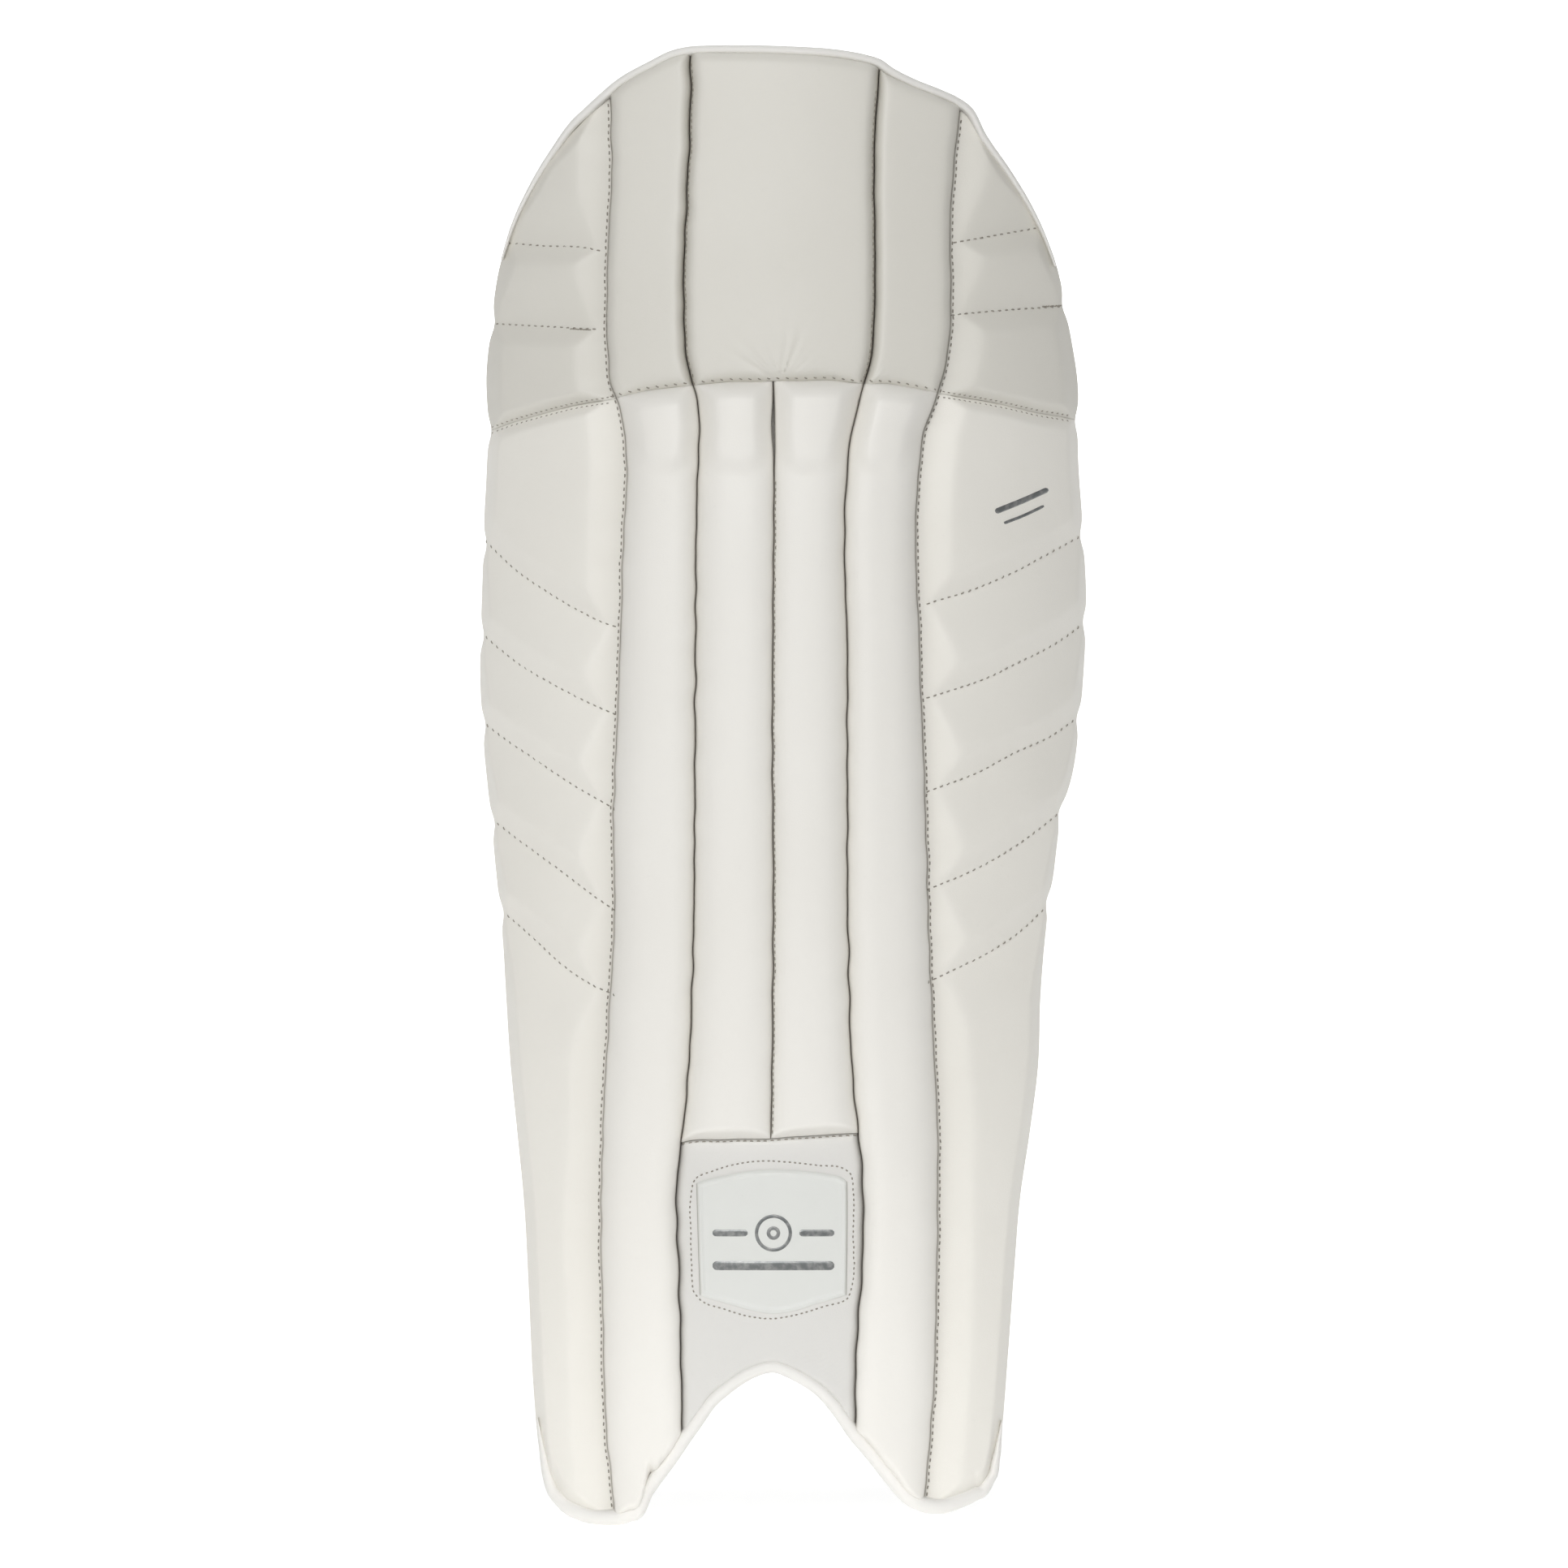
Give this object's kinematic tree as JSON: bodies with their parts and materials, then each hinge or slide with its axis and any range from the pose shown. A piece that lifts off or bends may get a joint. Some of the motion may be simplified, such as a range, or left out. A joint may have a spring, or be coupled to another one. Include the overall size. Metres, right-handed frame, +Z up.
{
  "type": "wicket-keeping leg pad",
  "caption": "Padded leg guard for wicket keeping: quilted leather wings, upright shin rolls, a knee flap that bends, back cushions, and straps that open round the leg.",
  "frame": {"origin": "leg seat: middle of the lining's back face, where the shin rests, 300 mm above the sole", "axes": "+Z up along the shin; +Y backwards from the lining to the leg, so the pad's front faces -Y; +X to the right seen from the front"},
  "size_m": [0.2722, 0.1293, 0.659],
  "materials": {
    "cover_leather": "fine-grained off-white coated leather, semi-matt",
    "badge_leather": "smooth off-white coated leather with pressed lines",
    "binding_leather": "soft off-white coated leather, turned edge",
    "foam": "closed-cell foam",
    "cane": "plain split cane",
    "lining_mesh": "spacer mesh cloth",
    "cushion_cloth": "woven cloth over foam",
    "strap_webbing": "woven webbing with hook and loop",
    "ring_plastic": "moulded plastic",
    "loop_patch": "napped loop tape"
  },
  "bodies": {
    "shin": {"shin_lining": "lining_mesh", "shin_foam_sheet": "foam", "shin_roll_cover_1": "cover_leather", "shin_roll_cover_2": "cover_leather", "shin_roll_cover_3": "cover_leather", "shin_roll_cover_4": "cover_leather", "shin_roll_foam_1": "foam", "shin_roll_foam_2": "foam", "shin_roll_foam_3": "foam", "shin_roll_foam_4": "foam", "cane_rods": "cane", "knee_roll_pads": "foam", "instep_panel": "cover_leather", "instep_foam": "foam", "badge": "badge_leather", "left_bolster_cover": "cushion_cloth", "left_bolster_foam": "foam", "right_bolster_cover": "cushion_cloth", "right_bolster_foam": "foam", "knee_rest_lower_cover": "cushion_cloth", "knee_rest_lower_foam": "foam", "bottom_binding": "binding_leather", "side_bindings": "binding_leather", "left_wing_cover": "cover_leather", "left_wing_foam": "foam", "left_wing_lining": "lining_mesh", "right_wing_cover": "cover_leather", "right_wing_foam": "foam", "right_wing_lining": "lining_mesh", "strap_anchors": "strap_webbing", "landing_patches": "loop_patch"},
    "knee_top": {"knee_centre_cover": "cover_leather", "knee_centre_foam": "foam", "knee_left_strip_cover": "cover_leather", "knee_left_strip_foam": "foam", "knee_right_strip_cover": "cover_leather", "knee_right_strip_foam": "foam", "knee_lining": "lining_mesh", "knee_rest_upper_cover": "cushion_cloth", "knee_rest_upper_foam": "foam", "top_binding": "binding_leather", "left_top_wing_cover": "cover_leather", "left_top_wing_foam": "foam", "left_top_wing_lining": "lining_mesh", "right_top_wing_cover": "cover_leather", "right_top_wing_foam": "foam", "right_top_wing_lining": "lining_mesh"},
    "strap_lower": {"strap_lower_band": "strap_webbing", "strap_lower_ring": "ring_plastic", "strap_lower_tab": "strap_webbing"},
    "tail_lower": {"strap_lower_tail": "strap_webbing"},
    "strap_middle": {"strap_middle_band": "strap_webbing", "strap_middle_ring": "ring_plastic", "strap_middle_tab": "strap_webbing"},
    "tail_middle": {"strap_middle_tail": "strap_webbing"},
    "strap_upper": {"strap_upper_band": "strap_webbing", "strap_upper_ring": "ring_plastic", "strap_upper_tab": "strap_webbing"},
    "tail_upper": {"strap_upper_tail": "strap_webbing"}
  },
  "joints": [
    {"name": "knee_bend", "type": "hinge", "parent": "shin", "child": "knee_top", "pos_m": [0, 0, 0.206], "axis": [-1, 0, 0], "range_deg": [-5, 12], "stiffness_Nm_per_rad": 6},
    {"name": "strap_lower_swing", "type": "hinge", "parent": "shin", "child": "strap_lower", "pos_m": [-0.108, 0.0352, -0.185], "axis": [0, 0, 1], "range_deg": [0, 70]},
    {"name": "tail_lower_peel", "type": "hinge", "parent": "strap_lower", "child": "tail_lower", "pos_m": [0.07471, 0.03349, -0.185], "axis": [0, 0, -1], "range_deg": [0, 90]},
    {"name": "strap_middle_swing", "type": "hinge", "parent": "shin", "child": "strap_middle", "pos_m": [-0.12, 0.04508, -0.045], "axis": [0, 0, 1], "range_deg": [0, 70]},
    {"name": "tail_middle_peel", "type": "hinge", "parent": "strap_middle", "child": "tail_middle", "pos_m": [0.08306, 0.03814, -0.045], "axis": [0, 0, -1], "range_deg": [0, 90]},
    {"name": "strap_upper_swing", "type": "hinge", "parent": "shin", "child": "strap_upper", "pos_m": [-0.129, 0.05404, 0.135], "axis": [0, 0, 1], "range_deg": [0, 70]},
    {"name": "tail_upper_peel", "type": "hinge", "parent": "strap_upper", "child": "tail_upper", "pos_m": [0.09878, 0.04887, 0.135], "axis": [0, 0, -1], "range_deg": [0, 90]}
  ]
}
